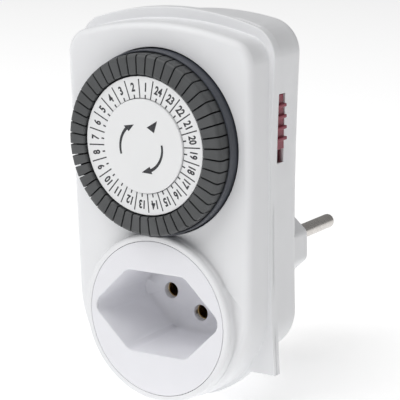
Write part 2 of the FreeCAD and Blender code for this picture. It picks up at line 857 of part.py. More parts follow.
def make_dial_wheel():
    bore = S["axle_radius"] + S["running_gap"]
    hub = S["axle_radius"] + S["hub_wall"]
    shoulder = hub + S["hub_shoulder"]
    core = S["core_radius"]
    cup = core - S["core_wall"]
    rim = S["drum_radius"] - S["drum_rim_wall"]
    hub_back = chassis_face + S["disc_gap"]
    ceiling = core_face - S["core_wall"]
    wheel = turned("wheel_turned", ZERO, dial_z, [
        (bore, hub_back), (hub, hub_back), (hub, gear_face), (shoulder, gear_face), (shoulder, ceiling),
        (cup, ceiling), (cup, channel_under), (rim, channel_under), (rim, drum_back),
        (S["drum_radius"], drum_back), (S["drum_radius"], drum_front), (rim, drum_front),
        (rim, channel_floor), (core, channel_floor), (core, core_face), (bore, core_face),
    ])
    holes = []
    for hour in range(1, HOURS + 1):
        for side in (-1, 1):
            angle = hour_angle(hour) + size(side) * 90 / HOURS
            holes.append(rod("peg_hole_%d" % (len(holes) + 1), S["peg_circle"] * cosine(angle),
                             dial_z + S["peg_circle"] * sine(angle), S["peg_radius"] + S["peg_hole_gap"],
                             channel_under, channel_floor))
    return cut("dial_wheel", wheel, *holes)


def hour_angle(hour):
    return S["first_hour_angle"] + size((hour - 1) * 360 / HOURS)


def make_tappets(hour):
    """The two tappets of one hour, as two solids in one body that slides as a pair."""
    label = "tappet_%02d" % hour
    body = new_body(label)
    inner, outer = S["tappet_inner"], S["tappet_outer"] - S["tappet_clear"] / 2
    gap = S["tappet_gap"] / 2
    half_pitch = 180 / HOURS
    wedges, pegs = [], []
    for side in (-1, 1):
        points = []
        for radius, step in ((inner, 0), (outer, 0), (outer, 1), (inner, 1)):
            edge = size(side * step * half_pitch)
            inward = gap * (1 if step == 0 else -1) * side
            points.append((radius * cosine(edge) - inward * sine(edge),
                           radius * sine(edge) + inward * cosine(edge)))
        wedges.append(points)
        angle = size(side * half_pitch / 2)
        pegs.append(("circle", S["peg_circle"] * cosine(angle), S["peg_circle"] * sine(angle),
                     S["peg_radius"]))
    pad(body, label + "_wedges", wedges, tappet_back, tappet_face)
    dress(body, "Chamfer", label + "_slope", S["tappet_chamfer"],
          lambda e: lies_at(e, tappet_face) and outermost(e, outer))
    pad(body, label + "_pegs", pegs, drum_back + S["peg_tip_clear"], tappet_back)
    body.Placement = Placement(Vector(0, 0, 0), Rotation(Vector(0, -1, 0), hour_angle(hour).value))
    bind_angle(body, "Placement.Rotation.Angle", hour_angle(hour))
    bind(body, "Placement.Base.z", dial_z)
    return body


# Small turned pieces

def make_pin(label, x, z):
    tip = -S["pin_reach"]
    turn = S["pin_tip_round"]
    r = pin_radius
    seat, tail, collar = S["pin_seat_radius"], S["pin_tail_radius"], S["pin_collar_radius"]
    collar_front = boss_inside + S["pin_collar_thickness"]
    return turned(label, x, z, [
        (ZERO, tip), (r - turn, tip, turn, "left"), (r, tip + turn), (r, ZERO), (seat, ZERO),
        (seat, boss_inside), (collar, boss_inside), (collar, collar_front), (tail, collar_front),
        (tail, strap_face), (ZERO, strap_face),
    ])


def make_case_screws():
    screws = []
    seat = S["case_screw_seat"]
    head_back = seat - S["screw_head_height"]
    for number, (x, z) in enumerate(screw_places(), start=1):
        name = "case_screw_%d" % number
        shank = rod(name + "_shank", x, z, S["case_screw_radius"], seat, seat + S["case_screw_length"])
        head = rod(name + "_head", x, z, S["case_screw_head"], head_back, seat)
        slot = block(name + "_slot", x - S["case_screw_head"], x + S["case_screw_head"], head_back,
                     head_back + S["screw_slot_depth"], z - S["screw_slot"] / 2, z + S["screw_slot"] / 2)
        screws.append(cut(name, fuse(name + "_blank", shank, head), slot))
    return group("case_screws", *screws)


def make_chassis_screws():
    screws = []
    head_back = chassis_back - S["screw_head_height"]
    for number, (x, z) in enumerate(chassis_places(), start=1):
        name = "chassis_screw_%d" % number
        shank = rod(name + "_shank", x, z, S["chassis_screw_radius"], chassis_back,
                    chassis_back + S["chassis_screw_length"])
        head = rod(name + "_head", x, z, S["chassis_screw_head"], head_back, chassis_back)
        slot = block(name + "_slot", x - S["chassis_screw_head"], x + S["chassis_screw_head"], head_back,
                     head_back + S["screw_slot_depth"], z - S["screw_slot"] / 2, z + S["screw_slot"] / 2)
        screws.append(cut(name, fuse(name + "_blank", shank, head), slot))
    return group("chassis_screws", *screws)


# Gears, from FreeCAD's own involute profile, as the sheet's numbers stand

def gear_blank(name, x, z, teeth, back, turn):
    wire = fcgear.FCWireBuilder()
    involute.CreateExternalGear(wire, S["gear_module"].value, int(teeth.value), 20)
    profile = Part.Face(Part.Wire([curve.toShape() for curve in wire.wire]))
    blank = doc.addObject("Part::Feature", name)
    blank.Shape = profile.extrude(Vector(0, 0, S["gear_thickness"].value))
    upright = Rotation(Vector(1, 0, 0), 90)
    blank.Placement = Placement(Vector(0, 0, 0), upright * Rotation(Vector(0, 0, 1), turn))
    bind(blank, "Placement.Base.x", x)
    bind(blank, "Placement.Base.y", -back)
    bind(blank, "Placement.Base.z", z)
    return blank


def make_dial_gear():
    blank = gear_blank("dial_gear_blank", ZERO, dial_z, S["dial_gear_teeth"], gear_back, 0)
    return cut("dial_gear", blank, rod("dial_gear_bore", ZERO, dial_z, S["axle_radius"] + S["hub_wall"],
                                       gear_back, gear_face))


def make_pinion():
    half_tooth = 180 / S["pinion_teeth"].value
    blank = gear_blank("pinion_blank", pinion_x, pinion_z, S["pinion_teeth"], gear_back, half_tooth)
    shaft = rod("pinion_shaft", pinion_x, pinion_z, S["pinion_shaft_radius"],
                motor_front - S["pinion_shaft_sink"], gear_face)
    return fuse("output_pinion", blank, shaft)


# Motor: case, cover, coil and rotor

def make_motor():
    x, z = S["motor_x"], S["motor_z"]
    outer, wall = S["motor_radius"], S["motor_wall"]
    shaft = S["rotor_shaft_radius"]
    bore = shaft + S["running_gap"]
    lid = motor_front - wall
    floor = motor_back + wall
    turned("motor_case", x, z, [
        (bore, motor_back), (outer, motor_back), (outer, lid), (outer - wall, lid), (outer - wall, floor),
        (bore, floor),
    ])
    cover = turned("motor_lid", x, z, ring_profile(bore, outer, lid, motor_front))
    cut("motor_cover", cover, rod("pinion_way", pinion_x, pinion_z,
                                  S["pinion_shaft_radius"] + S["running_gap"], lid, motor_front))
    coil_front = floor + S["coil_depth"]
    turned("motor_coil", x, z, ring_profile(S["coil_inner"], S["coil_outer"], floor, coil_front))
    rotor_back = floor + S["rotor_lift"]
    rotor_front = rotor_back + S["rotor_depth"]
    turned("motor_rotor", x, z, [
        (ZERO, motor_back + S["rotor_end_gap"]), (shaft, motor_back + S["rotor_end_gap"]),
        (shaft, rotor_back), (S["rotor_radius"], rotor_back), (S["rotor_radius"], rotor_front),
        (shaft, rotor_front), (shaft, motor_front - S["rotor_end_gap"]),
        (ZERO, motor_front - S["rotor_end_gap"]),
    ])


# Switch, its button, and the lever that a pushed tappet tips

def make_switch():
    left, right = lever_x - S["switch_half_width"], lever_x + S["switch_half_width"]
    body = block("switch_block", left, right, S["switch_back"], switch_face, S["switch_bottom"],
                 S["switch_top"])
    inside = S["lever_thickness"] / 2 + S["cheek_gap"]
    cheek = S["cheek_thickness"]
    pivot = S["lever_pivot_z"]
    low, high = pivot - S["cheek_half_height"], pivot + S["cheek_half_height"]
    front = switch_face + S["cheek_depth"]
    pieces = [
        body,
        block("cheek_left", lever_x - inside - cheek, lever_x - inside, switch_face, front, low, high),
        block("cheek_right", lever_x + inside, lever_x + inside + cheek, switch_face, front, low, high),
    ]
    bore = rod("button_bore", lever_x, S["lever_contact_z"], S["button_radius"] + S["running_gap"],
               switch_face - S["button_sink"] - S["button_travel"] - S["button_gap"], switch_face)
    pivot_hole = cross_rod("pivot_hole", lever_axis, pivot, S["lever_pivot_radius"],
                           lever_x - inside - cheek, lever_x + inside + cheek)
    cut("micro_switch_body", fuse("switch_blank", *pieces), bore, pivot_hole)
    rod("switch_button", lever_x, S["lever_contact_z"], S["button_radius"],
        switch_face - S["button_sink"], lever_back - S["button_gap"]).Label = "micro_switch_button"
    cross_rod("lever_axle", lever_axis, pivot, S["lever_pivot_radius"], lever_x - inside - cheek,
              lever_x + inside + cheek)
    half = S["lever_thickness"] / 2
    arm = block("lever_arm", lever_x - half, lever_x + half, lever_back, lever_face, pivot,
                S["lever_top_z"])
    nose = block("lever_nose_block", lever_x - half, lever_x + half, lever_back,
                 drum_back - S["lever_nose_gap"], S["lever_top_z"] - S["lever_nose"], S["lever_top_z"])
    foot = cross_rod("lever_foot_disc", lever_axis, pivot, S["lever_foot"], lever_x - half,
                     lever_x + half)
    eye = cross_rod("lever_eye", lever_axis, pivot, S["lever_pivot_radius"] + S["running_gap"],
                    lever_x - half, lever_x + half)
    cut("follower_lever", fuse("lever_blank", arm, nose, foot), eye)


# Override slider in the right side wall

def make_slider():
    low, back = S["slider_low"], S["slider_back"]
    high, front = low + S["slider_height"], back + S["slider_depth"]
    inner, face = slider_inner, slider_face
    overlap = S["slider_plate_overlap"]
    plate_low = low - S["slider_travel"] - S["slider_gap"] - overlap
    plate_high = high + S["slider_travel"] + S["slider_gap"] + overlap
    extra = S["slider_plate_extra"]
    pieces = [
        block("slider_plate_block", inner, inner + S["slider_plate"], back - extra, front + extra,
              plate_low, plate_high),
        block("slider_thumb", inner, face, back, front, low, high),
    ]
    ribs = int(S["slider_ribs"].value)
    pitch = S["slider_height"] / (ribs + 1)
    for number in range(1, ribs + 1):
        middle = low + pitch * number
        pieces.append(block("slider_rib_%d" % number, face - S["slider_rib"],
                            face + S["slider_rib_height"], back, front, middle - S["slider_rib"] / 2,
                            middle + S["slider_rib"] / 2))
    fuse("override_slider", *pieces)


# Conductors from the pins to the switch and to the outlet

def strap_ring(name, x, z):
    return rod(name, x, z, S["contact_outer"], strap_back, strap_face)


def make_conductors():
    half, thick = S["strap_half_width"], S["strap_thickness"]
    for label, x, z in (("live_contact", pin_x, outlet_z), ("neutral_contact", -pin_x, outlet_z),
                        ("earth_contact", ZERO, outlet_earth_z)):
        turned(label, x, z, ring_profile(S["contact_inner"], S["contact_outer"], strap_face, floor_back))

    for label, x, pin_z, end_z in (("neutral_busbar", -pin_x, ZERO, outlet_z),
                                   ("earth_busbar", ZERO, earth_z, outlet_earth_z)):
        bar = block(label + "_bar", x - half, x + half, strap_back, strap_face, end_z, pin_z + half)
        cut(label, fuse(label + "_blank", bar, strap_ring(label + "_ring", x, end_z)),
            rod(label + "_open", x, end_z, S["contact_inner"], strap_back, strap_face),
            rod(label + "_rivet", x, pin_z, S["pin_tail_radius"], strap_back, strap_face))

    lead_top = S["lead_z"] + thick
    cut("live_busbar", fuse(
        "live_busbar_blank",
        block("live_bar", pin_x - half, pin_x + half, strap_back, strap_face, -half, lead_top),
        block("live_leg", pin_x - half, pin_x + half, strap_back, S["switch_back"], S["lead_z"],
              lead_top),
    ), rod("live_rivet", pin_x, ZERO, S["pin_tail_radius"], strap_back, strap_face))

    left, right = S["return_x"], S["return_x"] + half
    top = S["return_z"] + thick
    cut("switched_busbar", fuse(
        "switched_busbar_blank",
        block("return_bar", left, right, strap_back, strap_face, outlet_z - half, top),
        block("return_foot", pin_x, right, strap_back, strap_face, outlet_z - half, outlet_z + half),
        block("return_leg", left, right, strap_back, S["switch_back"], S["return_z"], top),
        strap_ring("return_ring", pin_x, outlet_z),
    ), rod("return_open", pin_x, outlet_z, S["contact_inner"], strap_back, strap_face))


def outermost(edge, radius):
    """True for a front edge of a tappet that lies at the outer end of its wedge."""
    middle = edge.BoundBox.Center
    return math.hypot(middle.x, middle.z) > size(radius).value - 0.3


make_front_cover()
make_rear_cover()
make_insert()
make_chassis()
make_dial_wheel()
for hour in range(1, HOURS + 1):
    make_tappets(hour)
turned("number_disc", ZERO, dial_z,
       ring_profile(S["ring_inner"], S["ring_outer"], core_face, core_face + S["ring_thickness"]))
disc_back = core_face + S["disc_gap"]
disc_face = disc_back + S["centre_disc_thickness"]
spigot = S["axle_spigot_radius"]
turned("centre_disc", ZERO, dial_z, [
    (ZERO, disc_back + S["axle_spigot"]), (spigot, disc_back + S["axle_spigot"]), (spigot, disc_back),
    (S["centre_disc_radius"], disc_back), (S["centre_disc_radius"], disc_face), (ZERO, disc_face),
])
head_back = chassis_back - S["axle_head"]
turned("dial_axle", ZERO, dial_z, [
    (ZERO, head_back), (S["axle_head_radius"], head_back), (S["axle_head_radius"], chassis_back),
    (S["axle_radius"], chassis_back), (S["axle_radius"], disc_back), (spigot, disc_back),
    (spigot, disc_back + S["axle_spigot"]), (ZERO, disc_back + S["axle_spigot"]),
])
make_dial_gear()
make_pinion()
make_motor()
make_switch()
make_slider()
make_conductors()
make_pin("live_pin", pin_x, ZERO)
make_pin("neutral_pin", -pin_x, ZERO)
make_pin("earth_pin", ZERO, earth_z)
make_case_screws()
make_chassis_screws()

NODES = [
    "front_cover", "rear_cover", "socket_insert", "chassis", "dial_wheel", "number_disc", "centre_disc",
    "dial_axle", "dial_gear", "output_pinion", "motor_case", "motor_cover", "motor_coil", "motor_rotor",
    "micro_switch_body", "micro_switch_button", "follower_lever", "lever_axle", "override_slider",
    "live_pin", "neutral_pin", "earth_pin", "live_contact", "neutral_contact", "earth_contact",
    "live_busbar", "switched_busbar", "neutral_busbar", "earth_busbar", "case_screws", "chassis_screws",
] + ["tappet_%02d" % hour for hour in range(1, HOURS + 1)]

doc.recompute()
for thing in doc.Objects:
    if "Invalid" in thing.State or "Error" in thing.State:
        raise RuntimeError("%s is not valid: %s" % (thing.Label, thing.State))
os.makedirs("parts", exist_ok=True)
for node in NODES:
    found = doc.getObjectsByLabel(node)
    if len(found) != 1:
        raise RuntimeError("%s names %d objects" % (node, len(found)))
    shape = found[0].Shape
    if shape.isNull() or not shape.isValid():
        raise RuntimeError("%s has no valid shape" % node)
    shape.exportStep("parts/%s.step" % node)
    box = shape.BoundBox
    print("%-20s solids %d  x %.2f..%.2f  forward %.2f..%.2f  z %.2f..%.2f" % (
        node, len(shape.Solids), box.XMin, box.XMax, -box.YMax, -box.YMin, box.ZMin, box.ZMax))
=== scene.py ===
# %% [markdown]
# # A plug-in timer switch
# This lesson dresses a finished mechanical model of a plug-in timer switch. The model arrives as a frame
# of exact solids, one for each real piece, and Blender adds what the eye needs: soft edges, printed marks,
# and plastics and metals that catch the light as the real ones do. Lengths are in metres. X runs to the
# right, Y runs back into the wall and Z runs up, and the origin lies between the two upper plug pins.

import json
import math

import bmesh
import bpy
from mathutils import Matrix, Vector

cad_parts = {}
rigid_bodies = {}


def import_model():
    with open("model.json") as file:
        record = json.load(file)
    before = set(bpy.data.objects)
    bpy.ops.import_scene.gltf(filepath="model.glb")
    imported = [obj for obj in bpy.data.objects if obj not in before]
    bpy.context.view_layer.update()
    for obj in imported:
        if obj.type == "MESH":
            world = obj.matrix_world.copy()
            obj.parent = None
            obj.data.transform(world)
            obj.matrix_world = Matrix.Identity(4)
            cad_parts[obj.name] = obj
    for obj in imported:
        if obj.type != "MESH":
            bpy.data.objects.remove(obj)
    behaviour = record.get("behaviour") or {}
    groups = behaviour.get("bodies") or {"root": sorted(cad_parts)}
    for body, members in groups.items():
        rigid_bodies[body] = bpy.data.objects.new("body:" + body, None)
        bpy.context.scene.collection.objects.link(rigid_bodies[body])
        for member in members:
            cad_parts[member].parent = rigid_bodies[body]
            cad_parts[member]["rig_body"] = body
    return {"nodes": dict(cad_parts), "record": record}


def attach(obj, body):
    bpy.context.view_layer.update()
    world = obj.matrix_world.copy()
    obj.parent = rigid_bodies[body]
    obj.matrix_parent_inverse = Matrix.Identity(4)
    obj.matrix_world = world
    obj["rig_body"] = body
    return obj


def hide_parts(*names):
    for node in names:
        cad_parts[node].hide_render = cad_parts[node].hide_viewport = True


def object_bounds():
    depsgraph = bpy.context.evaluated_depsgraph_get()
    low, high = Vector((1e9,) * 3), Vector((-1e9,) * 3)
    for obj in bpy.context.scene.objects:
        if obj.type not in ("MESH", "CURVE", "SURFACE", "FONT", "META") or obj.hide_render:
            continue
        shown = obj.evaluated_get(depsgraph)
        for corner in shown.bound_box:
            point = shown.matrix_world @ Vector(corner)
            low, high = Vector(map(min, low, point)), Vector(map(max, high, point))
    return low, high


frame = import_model()
nodes = frame["nodes"]
cad_box = [list(corner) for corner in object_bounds()]
print("CAD nodes", len(nodes), "box", cad_box)

# %% [markdown]
# ## The camera and the light
# A product photograph is taken with a long lens from some way off, so that upright edges stay nearly
# upright. The camera here stands to the right of the dial and a little above it. Its place is given as a
# turn, a tilt and a roll, which is how a photographer thinks of it, and a shift slides the picture in the
# frame without turning the camera.

# %% Camera
MM = 0.001
FRAME_WIDTH = 400
FOCAL_PIXELS = 1800
PICTURE_CENTRE = (221.6, 213.7)
YAW, TILT, ROLL = (math.radians(angle) for angle in (33.1, 13.4, -1.0))
OFFSET = Vector((-15.5, -25.6, 469.2))
PLUG_FACE_FROM_FRONT = Vector((0, 52.6, 10.6))


def aim_camera():
    ahead = Vector((-math.sin(YAW) * math.cos(TILT), math.cos(YAW) * math.cos(TILT), -math.sin(TILT)))
    level = Vector((math.cos(YAW), math.sin(YAW), 0))
    above = level.cross(ahead)
    right = level * math.cos(ROLL) + above * math.sin(ROLL)
    up = above * math.cos(ROLL) - level * math.sin(ROLL)
    place = -(right * OFFSET.x + up * OFFSET.y + ahead * OFFSET.z) - PLUG_FACE_FROM_FRONT
    camera = bpy.data.objects.new("camera", bpy.data.cameras.new("camera"))
    bpy.context.scene.collection.objects.link(camera)
    camera.data.sensor_width = 36
    camera.data.lens = FOCAL_PIXELS / FRAME_WIDTH * camera.data.sensor_width
    camera.data.shift_x = (FRAME_WIDTH / 2 - PICTURE_CENTRE[0]) / FRAME_WIDTH
    camera.data.shift_y = (PICTURE_CENTRE[1] - FRAME_WIDTH / 2) / FRAME_WIDTH
    camera.data.clip_start = 0.01
    turn = Matrix((right, up, -ahead)).transposed().to_4x4()
    camera.matrix_world = Matrix.Translation(place * MM) @ turn
    bpy.context.scene.camera = camera
    return camera


camera = aim_camera()
print("camera at", [round(value, 4) for value in camera.location])

# %% [markdown]
# White plastic on a white table is hard to light. Too little light and it turns grey, and light from all
# sides makes it flat. So a wide soft lamp stands up on the left and lights the front, the walls of the
# room are dimmer, which leaves the right side grey, and the table itself glows a little, as a light table
# does. The plain view transform shows a white as white.

# %% Light and floor
FLOOR_Z = cad_box[0][2]
WORLD_STRENGTH, FLOOR_GLOW = 0.26, 0.45
KEY_PLACE, KEY_SIZE, KEY_WATTS = (-0.3, -0.55, 1.1), 1.4, 11.5


def soft_lamp(name, place, target, size, watts):
    data = bpy.data.lights.new(name, "AREA")
    data.shape = "DISK"
    data.size = size
    data.energy = watts
    lamp = bpy.data.objects.new(name, data)
    lamp.location = place
    lamp.rotation_euler = (Vector(target) - Vector(place)).to_track_quat("-Z", "Y").to_euler()
    bpy.context.scene.collection.objects.link(lamp)
    return lamp


def studio():
    world = bpy.data.worlds.new("studio")
    world.use_nodes = True
    background = world.node_tree.nodes["Background"]
    background.inputs["Color"].default_value = (1, 1, 1, 1)
    background.inputs["Strength"].default_value = WORLD_STRENGTH
    bpy.context.scene.world = world
    bpy.context.scene.view_settings.view_transform = "Standard"
    middle = (0, -0.03, 0.02)
    soft_lamp("key", KEY_PLACE, middle, KEY_SIZE, KEY_WATTS)


def lay_floor():
    mesh = bpy.data.meshes.new("floor")
    half = 3.0
    corners = [(-half, -half, FLOOR_Z), (half, -half, FLOOR_Z), (half, half, FLOOR_Z), (-half, half, FLOOR_Z)]
    mesh.from_pydata(corners, [], [(0, 1, 2, 3)])
    floor = bpy.data.objects.new("floor", mesh)
    bpy.context.scene.collection.objects.link(floor)
    paint = bpy.data.materials.new("floor_paper")
    paint.use_nodes = True
    shader = paint.node_tree.nodes["Principled BSDF"]
    shader.inputs["Base Color"].default_value = (0.93, 0.93, 0.93, 1)
    shader.inputs["Roughness"].default_value = 0.9
    shader.inputs["Emission Color"].default_value = (1, 1, 1, 1)
    shader.inputs["Emission Strength"].default_value = FLOOR_GLOW
    mesh.materials.append(paint)
    return floor


studio()
lay_floor()
print("floor at", round(FLOOR_Z, 4), "key lamp", KEY_WATTS, "W")

# %% [markdown]
# ## Finishes
# Moulded plastic is never one flat colour. Its skin copies the fine spark-eroded grain of the steel mould,
# its gloss drifts a little where the melt flowed faster, and its pigment is a touch uneven. Each finish
# below is built from three noises in the piece's own coordinates: a wide one for the pigment, a middling
# one for the gloss and a very fine one that only tips the surface. Metals get the same treatment, with
# the noise stretched along the way they were turned, rolled or wound.

# %% Finish helpers


def finish(name, colour, roughness, metallic=0.0):
    paint = bpy.data.materials.new(name)
    paint.use_nodes = True
    shader = paint.node_tree.nodes["Principled BSDF"]
    shader.inputs["Base Color"].default_value = (*colour, 1)
    shader.inputs["Roughness"].default_value = roughness
    shader.inputs["Metallic"].default_value = metallic
    return paint


def pattern(paint, grain_mm, stretch=(1, 1, 1), detail=2.0):
    """A noise whose blobs are about grain_mm wide, drawn out where stretch is small."""
    tree = paint.node_tree
    place = tree.nodes.new("ShaderNodeTexCoord")
    turn = tree.nodes.new("ShaderNodeMapping")
    turn.inputs["Scale"].default_value = stretch
    noise = tree.nodes.new("ShaderNodeTexNoise")
    noise.inputs["Scale"].default_value = 1 / (grain_mm * MM)
    noise.inputs["Detail"].default_value = detail
    tree.links.new(place.outputs["Object"], turn.inputs["Vector"])
    tree.links.new(turn.outputs["Vector"], noise.inputs["Vector"])
    return noise.outputs["Fac"]


def mottle(paint, source, dark, light, low=0.35, high=0.65):
    """Lets the colour drift between two shades."""
    tree = paint.node_tree
    ramp = tree.nodes.new("ShaderNodeValToRGB")
    ramp.color_ramp.elements[0].position = low
    ramp.color_ramp.elements[0].color = (*dark, 1)
    ramp.color_ramp.elements[1].position = high
    ramp.color_ramp.elements[1].color = (*light, 1)
    tree.links.new(source, ramp.inputs["Fac"])
    tree.links.new(ramp.outputs["Color"], tree.nodes["Principled BSDF"].inputs["Base Color"])


def vary_gloss(paint, source, smooth, rough):
    tree = paint.node_tree
    span = tree.nodes.new("ShaderNodeMapRange")
    span.inputs["From Min"].default_value = 0.3
    span.inputs["From Max"].default_value = 0.7
    span.inputs["To Min"].default_value = smooth
    span.inputs["To Max"].default_value = rough
    tree.links.new(source, span.inputs["Value"])
    tree.links.new(span.outputs["Result"], tree.nodes["Principled BSDF"].inputs["Roughness"])


def emboss(paint, source, depth_mm, strength=0.5):
    tree = paint.node_tree
    bump = tree.nodes.new("ShaderNodeBump")
    bump.inputs["Strength"].default_value = strength
    bump.inputs["Distance"].default_value = depth_mm * MM
    tree.links.new(source, bump.inputs["Height"])
    tree.links.new(bump.outputs["Normal"], tree.nodes["Principled BSDF"].inputs["Normal"])


def shade(colour, factor):
    return tuple(min(1.0, part * factor) for part in colour)


def moulded(name, colour, roughness, grain_mm=0.3, grain_depth=0.012, drift=0.02, flow=(1, 1, 1)):
    paint = finish(name, colour, roughness)
    mottle(paint, pattern(paint, 9.0, flow), shade(colour, 1 - drift), shade(colour, 1 + drift))
    vary_gloss(paint, pattern(paint, 4.0, flow), roughness - 0.06, roughness + 0.06)
    emboss(paint, pattern(paint, grain_mm, flow), grain_depth)
    return paint


def metal(name, colour, roughness, grain_mm, stretch, drift=0.06, depth_mm=0.01):
    paint = finish(name, colour, roughness, 1.0)
    mottle(paint, pattern(paint, 2.5), shade(colour, 1 - drift), shade(colour, 1 + drift))
    vary_gloss(paint, pattern(paint, 1.2), roughness - 0.08, roughness + 0.08)
    emboss(paint, pattern(paint, grain_mm, stretch), depth_mm)
    return paint


# %% The finishes
FINISHES = {
    "case_plastic": moulded("case_white", (0.86, 0.865, 0.88), 0.42, drift=0.008),
    "insert_plastic": moulded("insert_white", (0.85, 0.85, 0.885), 0.4, drift=0.008),
    "chassis_plastic": moulded("chassis_grey", (0.62, 0.63, 0.64), 0.5),
    "dial_plastic": moulded("drum_slate", (0.055, 0.06, 0.075), 0.42, drift=0.1),
    "tappet_plastic": moulded("tappet_grey", (0.07, 0.073, 0.075), 0.5, 0.25, 0.03, drift=0.12),
    "disc_plastic": moulded("disc_white", (0.84, 0.845, 0.85), 0.55, drift=0.008),
    "slider_plastic": moulded("slider_red", (0.25, 0.025, 0.05), 0.38, drift=0.08),
    "gear_plastic": moulded("gear_acetal", (0.74, 0.72, 0.66), 0.45),
    "switch_plastic": moulded("switch_black", (0.03, 0.03, 0.033), 0.45, drift=0.1),
    "steel": metal("zinc_plated_steel", (0.62, 0.62, 0.6), 0.35, 0.4, (1, 1, 0.1)),
    "coil_copper": metal("enamelled_copper", (0.56, 0.26, 0.13), 0.3, 0.22, (0.02, 1, 0.02), depth_mm=0.08),
    "rotor_magnet": metal("sintered_magnet", (0.1, 0.1, 0.11), 0.5, 0.3, (1, 1, 1), 0.15),
    "pin_nickel": metal("nickel_plate", (0.66, 0.63, 0.6), 0.3, 0.12, (0.05, 1, 0.05), 0.03, 0.006),
    "contact_brass": metal("stamped_brass", (0.7, 0.5, 0.22), 0.32, 0.5, (1, 0.1, 1)),
}
print("finishes", len(FINISHES))

# %% [markdown]
# Every solid of the frame first gets the finish of its own material slot. The record lists which node
# takes which slot, so nothing is typed twice. The pieces that need a better shape are replaced later.

# %% Dress the frame
SLOT_OF = {part["node"]: part["material_slot"] for part in frame["record"]["subparts"]}


def wear(piece, slot):
    piece.data.materials.clear()
    piece.data.materials.append(FINISHES[slot])


for name, node in nodes.items():
    wear(node, SLOT_OF[name])
print("dressed", len(nodes))

# %% [markdown]
# ## Soft edges
# A mould has no razor edges, and neither does what comes out of it. The small round on each edge is what
# draws the thin bright line in a photograph. The solids of the frame carry only their larger rounds, so
# the moulded pieces are copied, their loose triangles are joined at the corners, and the edges that are
# picked get a bevel. Only edges sharper than a given angle count, and each group has a radius of its own.
# Weighted normals keep the flat faces flat beside their small rounds.

# %% Soft copy helpers


def new_piece(name, mesh, body, slot, *replaced):
    piece = bpy.data.objects.new(name, mesh)
    bpy.context.scene.collection.objects.link(piece)
    wear(piece, slot)
    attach(piece, body)
    if replaced:
        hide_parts(*replaced)
    return piece


def smooth_faces(mesh, angle=38):
    mesh.shade_smooth()
    mesh.set_sharp_from_angle(angle=math.radians(angle))
    holder = bpy.data.objects.new("holder", mesh)
    bpy.context.scene.collection.objects.link(holder)
    holder.modifiers.new("flat faces", "WEIGHTED_NORMAL").keep_sharp = True
    ready = holder.evaluated_get(bpy.context.evaluated_depsgraph_get())
    result = bpy.data.meshes.new_from_object(ready)
    bpy.data.objects.remove(holder)
    return result


def closed_mesh(node):
    shape = bmesh.new()
    shape.from_mesh(nodes[node].data)
    bmesh.ops.remove_doubles(shape, verts=shape.verts, dist=0.002 * MM)
    return shape


def lies_on(edge, forward):
    return all(abs(vertex.co.y + forward * MM) < 0.01 * MM for vertex in edge.verts)


def turn_of(edge):
    return math.degrees(edge.calc_face_angle(0)) if len(edge.link_faces) == 2 else 0


def mesh_area(mesh):
    return sum(face.area for face in mesh.polygons)


def soft_copy(node, rounds, sharp=40):
    """A copy of a solid whose picked edges are rounded. Each round is (pick, radius in mm, segments)."""
    shape = closed_mesh(node)
    for pick, radius_mm, segments in rounds:
        edges = [edge for edge in shape.edges if turn_of(edge) > sharp and pick(edge)]
        if edges:
            bmesh.ops.bevel(shape, geom=edges, offset=radius_mm * MM, offset_type="OFFSET", segments=segments,
                            profile=0.5, affect="EDGES", clamp_overlap=False, miter_outer="ARC")
    mesh = bpy.data.meshes.new(node + "_soft")
    shape.to_mesh(mesh)
    shape.free()
    mesh = smooth_faces(mesh)
    grown = mesh_area(mesh) / mesh_area(nodes[node].data) - 1
    piece = new_piece(node + "_soft", mesh, nodes[node]["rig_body"], SLOT_OF[node], node)
    print(piece.name, "faces", len(mesh.polygons), "area change", round(grown, 4))
    return piece


# %% [markdown]
# The front cover has a thin lip round its foot. Its front edge is well rounded and its foot flows into the
# wall, which gives the bright band down the side. The back edge of the lip stays crisp, because it closes
# on the rear cover and the seam should be a hairline. The insides of the covers are left as they are.

# %% Covers and insert
LIP_FRONT, PLATE_BACK, REAR_FACE = 44.0, 41.0, 18.0
FRONT_FACE, COLLAR_FACE, RECESS_FLOOR = 52.6, 55.6, 34.6
DRUM_RIM, RING_FACE, DISC_FACE = 55.6, 58.8, 59.3
DIAL_Z, DIAL_FOOT_Z, COLLAR_Z, INSERT_INSIDE = 34.5, 8.0, -11.8, 20.5


def on(forward, wanted=lambda edge: True):
    return lambda edge: lies_on(edge, forward) and wanted(edge)


def convex(edge):
    return edge.is_convex


def concave(edge):
    return not edge.is_convex


def near_dial(edge):
    return all(vertex.co.z > DIAL_FOOT_Z * MM for vertex in edge.verts) and edge.is_convex


def in_mouth(edge):
    across = edge.verts[0].co
    return math.hypot(across.x, across.z - COLLAR_Z * MM) < INSERT_INSIDE * MM


soft_copy("front_cover", [
    (on(LIP_FRONT, convex), 0.35, 3),
    (on(LIP_FRONT, concave), 0.45, 4),
    (on(FRONT_FACE, near_dial), 0.2, 2),
    (on(COLLAR_FACE), 0.1, 2),
])
soft_copy("rear_cover", [
    (on(PLATE_BACK, convex), 0.3, 3),
    (on(REAR_FACE, convex), 0.2, 2),
])
soft_copy("socket_insert", [
    (on(COLLAR_FACE, in_mouth), 0.35, 3),
    (on(COLLAR_FACE), 0.1, 2),
    (on(RECESS_FLOOR, convex), 0.2, 2),
])

# %% [markdown]
# The small moulded and turned pieces that show are simple enough to round every edge they have: the red
# slider with its grip ribs, the brass sleeves behind the pin holes and the screws. On the drum and the two
# white discs only the front rims are rounded, because the rest is out of sight.

# %% Slider, drum, discs, sleeves and screws


def every_edge(edge):
    return True


